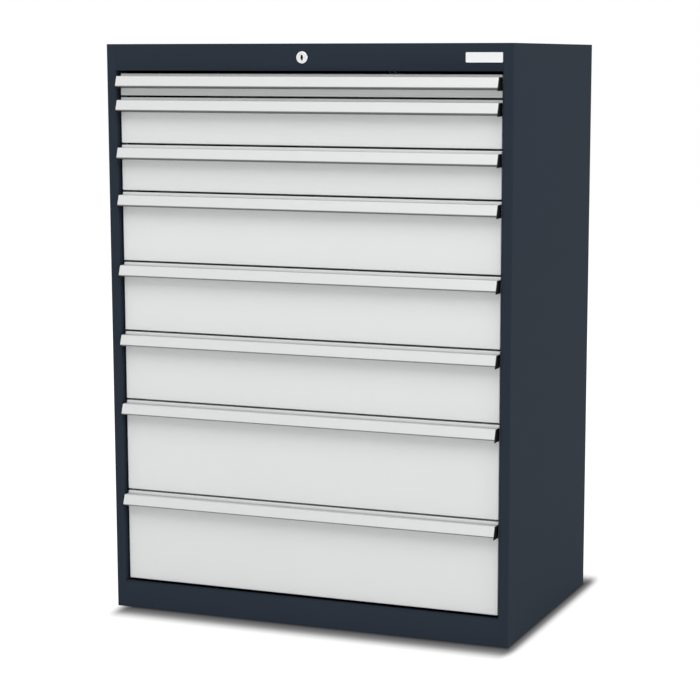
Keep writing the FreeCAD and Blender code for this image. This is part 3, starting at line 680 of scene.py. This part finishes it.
class CABINET_OT_lock(bpy.types.Operator):
    """Lock, its rod and lever, the hooked bar and what holds them"""
    bl_idname = "cabinet.lock"
    bl_label = "Central lock"

    # The domed rim of the lock's flange, as (depth behind the face, distance from the rim) in mm
    dome = ((0, 1.1), (0.2, 0.6), (0.8, 0.1), (1.2, 0))

    def execute(self, context):
        edges = context.scene.cabinet_edges
        for node in ("lock_nut", "lock_rod", "lock_lever", "lock_bar", "lock_bar_guides",
                     "rod_bracket"):
            dress(node, node + "_finished", edges.machined)
        stand_in("lock_barrel", "lock_barrel_turned", self.barrel())
        stand_in("lock_plug", "lock_plug_turned", self.plug(edges))
        return {"FINISHED"}

    def barrel(self):
        """Flange with a domed rim, and a threaded body behind it."""
        low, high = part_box("lock_barrel")
        middle = (low[2] + high[2]) / 2
        rim, length = high[0], high[1] - low[1]
        bore, mouth, flange = 7.1 * MM, 0.3 * MM, 2.5 * MM
        body, chamfer, pitch, thread = 9.5 * MM, 0.5 * MM, 1.25 * MM, 0.4 * MM
        profile = [(0, bore + mouth)]
        profile += [(depth * MM, rim - inset * MM) for depth, inset in self.dome]
        profile += [(flange, rim), (flange, body)]
        for turn in range(int((length - flange - 2 * pitch) / pitch)):
            start = flange + (turn + 1.5) * pitch
            profile += [(start, body), (start + pitch / 2, body - thread)]
        profile += [(length - chamfer, body), (length, body - chamfer)]
        profile += [(length, bore), (mouth, bore)]
        shape = turned(profile, segments=64)
        place = Matrix.Translation((0, low[1], middle)) @ Matrix.Rotation(math.pi / 2, 4, "Z")
        bmesh.ops.transform(shape, verts=shape.verts, matrix=place)
        return shape

    def plug(self, edges):
        """Plug whose keyhole has a lead-in that is broad in the middle, and a bore marked for a
        painted shade.
        """
        low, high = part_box("lock_plug")
        front, middle = low[1], (low[2] + high[2]) / 2
        half_width, half_height, lead_in = 1.4 * MM, 4.6 * MM, 0.8 * MM
        # The lead-in's half width at its ends and in its middle
        half_ends, half_broad = half_width + 0.25 * MM, 2.9 * MM
        # Room for rounding errors, across the keyhole and into it
        slack, skin = 0.05 * MM, 0.01 * MM
        shape = welded_copy("lock_plug")
        bore = shape.faces.layers.float.new("bore")

        def in_face(edge, wide, tall):
            return all(vertex.co.y < front + skin and abs(vertex.co.x) < wide
                       and abs(vertex.co.z - middle) < tall for vertex in edge.verts)

        mouth = [edge for edge in shape.edges
                 if in_face(edge, half_width + slack, half_height + slack)]
        bmesh.ops.bevel(shape, geom=mouth, offset=lead_in, segments=1, affect="EDGES")
        wide, tall = half_width + lead_in + 2 * slack, half_height + lead_in + 2 * slack
        rims = [edge for edge in shape.edges
                if in_face(edge, wide, tall) and edge.calc_length() > half_height
                and abs(edge.verts[0].co.x - edge.verts[1].co.x) < slack]
        for vertex in {vertex for edge in rims for vertex in edge.verts}:
            vertex.co.x = math.copysign(half_ends, vertex.co.x)
        split = bmesh.ops.subdivide_edges(shape, edges=rims, cuts=1)
        for vertex in split["geom_inner"]:
            if isinstance(vertex, bmesh.types.BMVert):
                vertex.co.x = math.copysign(half_broad, vertex.co.x)
        # Faces inside the keyhole get the bore mark: painted shade in the slot
        for face in shape.faces:
            x, y, z = face.calc_center_median()
            if (abs(x) < half_broad and abs(z - middle) < half_height + lead_in
                    and y > front + 2 * skin):
                face[bore] = 1
        return soften(shape, edges.machined,
                      keep=lambda edge: any(face[bore] for face in edge.link_faces))


class CABINET_OT_fronts(bpy.types.Operator):
    """Folded drawer fronts"""
    bl_idname = "cabinet.fronts"
    bl_label = "Drawer fronts"

    def execute(self, context):
        edges = context.scene.cabinet_edges
        for number in DRAWERS:
            node = "drawer_%d_front" % number
            front = stand_in(node, "drawer_%d_face" % number, self.folded(node, edges))
            wall = front.modifiers.new("sheet", "SOLIDIFY")
            wall.thickness = edges.front_sheet
            wall.offset = -1
            wall.use_even_offset = True
            front.modifiers.move(1, 0)
        return {"FINISHED"}

    def folded(self, node, edges):
        """Outer skin of a front folded on all four sides, open at the rear."""
        low, high = (Vector(corner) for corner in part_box(node))
        place = Matrix.Translation((low + high) / 2) @ Matrix.Diagonal((*(high - low), 1))
        shape = bmesh.new()
        bmesh.ops.create_cube(shape, size=1, matrix=place)
        rear = [face for face in shape.faces if face.normal.y > 0.5]
        bmesh.ops.delete(shape, geom=rear, context="FACES")
        return soften(shape, edges.front_bend, segments=5)


class CABINET_OT_trays(bpy.types.Operator):
    """Trays with the drawers' own runner channels"""
    bl_idname = "cabinet.trays"
    bl_label = "Trays"

    def execute(self, context):
        edges = context.scene.cabinet_edges
        for number in DRAWERS:
            dress("drawer_%d_tray" % number, "drawer_%d_box" % number, edges.sheet)
        return {"FINISHED"}


class CABINET_OT_grips(bpy.types.Operator):
    """Strip grips and their end caps"""
    bl_idname = "cabinet.grips"
    bl_label = "Strip grips"

    def execute(self, context):
        edges = context.scene.cabinet_edges
        recipe = self.recipe()
        for number in DRAWERS:
            node = "drawer_%d_handle" % number
            low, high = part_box(node)
            mesh = recipe.grow(node, Length=high[0] - low[0], Face=high[1], Rise=high[2])
            stand_in(node, "drawer_%d_grip" % number, mesh)
            dress(node + "_caps", "drawer_%d_grip_ends" % number,
                  width=1.5 * edges.machined, segments=3)
        return {"FINISHED"}

    def recipe(self):
        """A grip's outline, filled and drawn out along the front, and marked for a painted shade
        under its lip and on its ledge.
        """
        # The last five sizes shape the painted shade under the lip and on the ledge
        grip = Recipe("strip grip", Length=0.85, Face=0.0, Rise=0.0, Ledge=20 * MM,
                      Reach=28 * MM, Height=22.5 * MM, Wall=2 * MM, Lip=4.5 * MM,
                      Flange=25.5 * MM, Bend=1.4 * MM, Curl=2.6 * MM, Edge=0.35 * MM, Steps=5,
                      Dust=0.6, Seam=0.3 * MM, Wear=0.85, Worn=3 * MM, Fade=1 * MM)
        profile = self.profile(grip)
        end = grip.node("GeometryNodeFillCurve", {"mode": "NGONS"}, {"Curve": profile})
        run = grip.node("GeometryNodeExtrudeMesh", sockets={
            "Mesh": end, "Offset": grip.vector(z=1.0), "Offset Scale": grip["Length"],
            "Individual": False})
        other_end = grip.node("GeometryNodeFlipFaces", sockets={"Mesh": end})
        strip = grip.node("GeometryNodeJoinGeometry", sockets={"Geometry": [run, other_end]})
        strip = grip.node("GeometryNodeMergeByDistance",
                          sockets={"Geometry": strip, "Distance": WELD})
        # Store the painted shade under the lip and on the ledge as a mark that the paint reads
        strip = grip.node("GeometryNodeStoreNamedAttribute",
                          {"data_type": "FLOAT", "domain": "POINT"},
                          {"Geometry": strip, "Name": "dirt", "Value": self.dirt(grip)})
        strip = grip.node("GeometryNodeTransform", sockets={
            "Geometry": strip, "Rotation": (math.pi / 2, 0, math.pi / 2),
            "Translation": grip.vector(grip["Length"] * -0.5, grip["Face"], grip["Rise"])})
        grip.close(strip, "handle_profile")
        return grip

    def profile(self, grip):
        """The outline of ledge, leaning face, lip and flange, each corner with its rounding."""
        ledge, reach, height, wall = grip["Ledge"], grip["Reach"], grip["Height"], grip["Wall"]
        lip, flange = grip["Lip"], grip["Flange"]
        bend, curl, edge = grip["Bend"], grip["Curl"], grip["Edge"]
        lean = (reach - ledge) / height
        corners = (
            (0, 0, edge),
            (-ledge, 0, bend),
            (-reach, -height, curl),
            (lip - reach, -height, edge),
            (lip - reach, wall - height, edge),
            (wall - ledge - lean * (height - wall), wall - height, edge),
            (wall - ledge - lean * wall, -wall, bend),
            (-wall, -wall, edge),
            (-wall, -flange, edge),
            (0, -flange, edge),
        )
        index = grip.node("GeometryNodeInputIndex")
        places = {step + 1: grip.vector(depth, up) for step, (depth, up, _) in enumerate(corners)}
        bends = {step + 1: radius for step, (_, _, radius) in enumerate(corners)}
        place = grip.node("GeometryNodeIndexSwitch",
                          {"data_type": "VECTOR", "choices": len(corners)}, {0: index, **places})
        rounding = grip.node("GeometryNodeIndexSwitch",
                             {"data_type": "FLOAT", "choices": len(corners)}, {0: index, **bends})
        ring = grip.node("GeometryNodeCurvePrimitiveCircle", sockets={"Resolution": len(corners)})
        outline = grip.node("GeometryNodeSetPosition",
                            sockets={"Geometry": ring, "Position": place})
        return grip.node("GeometryNodeFilletCurve", {"mode": "POLY"}, {
            "Curve": outline, "Count": grip["Steps"], "Radius": rounding, "Limit Radius": True})

    def dirt(self, grip):
        """Painted shade round the lower edge and on the ledge, darkest against the drawer's front.
        """
        spot = grip.node("GeometryNodeInputPosition")
        depth, up = (grip.node("ShaderNodeSeparateXYZ", sockets={"Vector": spot}, out=axis)
                     for axis in "XY")
        shaded_lip = (grip["Worn"] - grip["Height"] - up) / grip["Fade"] * grip["Wear"]
        shaded_ledge = (1 + depth / grip["Ledge"]) * grip["Dust"] - (-up).at_least(0) / grip["Seam"]
        return grip.node("ShaderNodeClamp",
                         sockets={"Value": shaded_lip.at_least(shaded_ledge), "Max": grip["Wear"]})


class CABINET_OT_carriages(bpy.types.Operator):
    """Carriages with their rollers"""
    bl_idname = "cabinet.carriages"
    bl_label = "Carriages"

    # A carriage's plate: its outer face from the cabinet's middle, its sheet, height and corners
    outer, sheet, half_height, corner = 418.5 * MM, 2 * MM, 11 * MM, 4 * MM
    # A plate's two rows of rollers: the way they stand out, from which face, and their first axle
    rows = ((-1, outer - sheet, -227 * MM), (1, outer, 23 * MM))
    # Half of a roller's dished face, as (depth, radius) in mm from the bore to the tread
    dish = ((0, 5.6), (0.7, 6.1), (0.7, 9.4), (0, 9.9), (0, 13.4), (0.3, 13.9))
    # Half of a riveted axle, as (distance from the plate's face, radius) in mm
    axle = ((-0.5, 0), (-0.5, 3), (9.7, 3), (9.7, 5.3), (9.9, 5.5), (10.1, 5.5), (10.5, 4.6),
            (10.5, 1.6), (10.2, 1.1), (10.2, 0))

    def execute(self, context):
        edges = context.scene.cabinet_edges
        recipe = self.recipe()
        rolling = self.roller()
        for number in DRAWERS:
            node = "drawer_%d_carriages" % number
            low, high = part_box(node)
            rise = (low[2] + high[2]) / 2
            meshes = []
            for side in (-1, 1):
                for outward, face, first in self.rows:
                    meshes.append(recipe.grow("row", rolling, Across=side * face, First=first,
                                              Rise=rise, Turn=0.0 if side == outward else math.pi))
                plate, _ = slab(*self.plate(side, low, high, rise), axis=0, corner=self.corner)
                meshes.append(mesh_of("plate", soften(plate, edges.machined)))
            stand_in(node, "drawer_%d_rolling_parts" % number, joined(node, *meshes))
        return {"FINISHED"}

    def plate(self, side, low, high, rise):
        """Lowest and highest corner of a carriage's plate."""
        left, right = sorted((side * self.outer, side * (self.outer - self.sheet)))
        return (left, low[1], rise - self.half_height), (right, high[1], rise + self.half_height)

    def roller(self):
        """A roller with dished faces on its riveted axle, standing out from the plate."""
        near, far, shoulder = 0.3 * MM, 9.4 * MM, 0.8 * MM
        bore, tread = 3.08 * MM, 14.2 * MM
        dish = [(depth * MM, radius * MM) for depth, radius in self.dish]
        profile = [(near, bore)] + [(near + depth, radius) for depth, radius in dish]
        profile += [(near + shoulder, tread), (far - shoulder, tread)]
        profile += [(far - depth, radius) for depth, radius in reversed(dish)] + [(far, bore)]
        wheel = turned(profile, segments=32)
        pin = turned([(along * MM, radius * MM) for along, radius in self.axle], segments=24)
        return joined("rolling set", mesh_of("wheel", wheel), mesh_of("pin", pin))

    def recipe(self):
        """Stands a shape in a row along the depth of the cabinet."""
        row = Recipe("row", Count=3, Pitch=95 * MM, Across=0.0, First=0.0, Rise=0.0, Turn=0.0)
        line = row.node("GeometryNodeMeshLine", {"mode": "OFFSET", "count_mode": "TOTAL"}, {
            "Count": row["Count"], "Offset": row.vector(y=row["Pitch"]),
            "Start Location": row.vector(row["Across"], row["First"], row["Rise"])})
        placed = row.node("GeometryNodeInstanceOnPoints", sockets={
            "Points": line, "Instance": row["Shape"], "Rotation": row.vector(z=row["Turn"])})
        row.close(placed, "zinc_steel")
        return row


class CABINET_OT_stage(bpy.types.Operator):
    """Floor, room light, lamps and camera"""
    bl_idname = "cabinet.stage"
    bl_label = "Stage"

    def execute(self, context):
        stage = context.scene.cabinet_stage
        self.floor(context.scene.cabinet_colours.floor, stage)
        self.room(stage.sky)
        for name, place, target, size, power in LAMPS:
            self.lamp(name, place, target, size, getattr(stage, power))
        # The lock mirrors the room as white, and this lamp's reflection would add to that
        bpy.data.objects["front lamp"].visible_glossy = False
        self.camera(stage)
        return {"FINISHED"}

    def floor(self, colour, stage):
        corners = [(across * FLOOR_HALF, along * FLOOR_HALF, 0)
                   for across, along in ((-1, -1), (1, -1), (1, 1), (-1, 1))]
        mesh = bpy.data.meshes.new("floor")
        mesh.from_pydata(corners, [], [(0, 1, 2, 3)])
        mesh.materials.append(white_floor("floor", colour, stage.glow, *stage.shadow_reach))
        floor = bpy.data.objects.new("floor", mesh)
        floor.location.z = -FLOOR_DROP
        bpy.context.scene.collection.objects.link(floor)

    def room(self, strength):
        """Even light, which the camera and mirrors see as white."""
        world = bpy.data.worlds.new("room")
        world.use_nodes = True
        world.node_tree.nodes.clear()
        room = Tree(world.node_tree)
        camera, mirrored = room.seen_white()
        level = room.node("ShaderNodeMapRange", sockets={
            "Value": camera.at_least(mirrored), "To Min": strength, "To Max": 1.0})
        sky = room.node("ShaderNodeBackground", sockets={"Color": WHITE, "Strength": level})
        room.node("ShaderNodeOutputWorld", sockets={"Surface": sky})
        bpy.context.scene.world = world

    def lamp(self, name, place, target, size, power):
        light = bpy.data.lights.new(name, "AREA")
        light.shape = "RECTANGLE"
        light.size, light.size_y = size
        light.energy = power
        lamp = bpy.data.objects.new(name, light)
        lamp.location = place
        lamp.rotation_euler = (Vector(target) - Vector(place)).to_track_quat("-Z", "Y").to_euler()
        bpy.context.scene.collection.objects.link(lamp)

    def camera(self, stage):
        lens = bpy.data.cameras.new("photo")
        lens.sensor_width = FILM_WIDTH
        lens.lens = stage.lens
        lens.shift_x, lens.shift_y = stage.shift
        camera = bpy.data.objects.new("photo", lens)
        camera.location = stage.spot
        camera.rotation_euler = stage.aim
        bpy.context.scene.collection.objects.link(camera)
        bpy.context.scene.camera = camera
        bpy.context.scene.view_settings.view_transform = "Standard"


BUILDERS = (CABINET_OT_housing, CABINET_OT_uprights, CABINET_OT_lock, CABINET_OT_fronts,
            CABINET_OT_trays, CABINET_OT_grips, CABINET_OT_carriages, CABINET_OT_stage)


class CABINET_PT_panel(bpy.types.Panel):
    """Lists the cabinet's settings and builders"""
    bl_idname = "CABINET_PT_panel"
    bl_label = "Drawer Cabinet"
    bl_space_type = "VIEW_3D"
    bl_region_type = "UI"
    bl_category = "Cabinet"

    def draw(self, context):
        for group in SETTINGS:
            settings = getattr(context.scene, group)
            box = self.layout.box()
            for name in settings.bl_rna.properties.keys():
                if name not in ("rna_type", "name"):
                    box.prop(settings, name)
        for builder in BUILDERS:
            self.layout.operator(builder.bl_idname)


SETTINGS = {
    "cabinet_colours": CabinetColours,
    "cabinet_edges": CabinetEdges,
    "cabinet_stage": CabinetStage,
}
CLASSES = (*SETTINGS.values(), *BUILDERS, CABINET_PT_panel)


def register():
    for cls in CLASSES:
        bpy.utils.register_class(cls)
    for name, cls in SETTINGS.items():
        setattr(bpy.types.Scene, name, bpy.props.PointerProperty(type=cls))


def unregister():
    for name in SETTINGS:
        delattr(bpy.types.Scene, name)
    for cls in reversed(CLASSES):
        bpy.utils.unregister_class(cls)


def main():
    register()
    for builder in BUILDERS:
        group, name = builder.bl_idname.split(".")
        getattr(getattr(bpy.ops, group), name)()


if __name__ == "__main__":
    main()
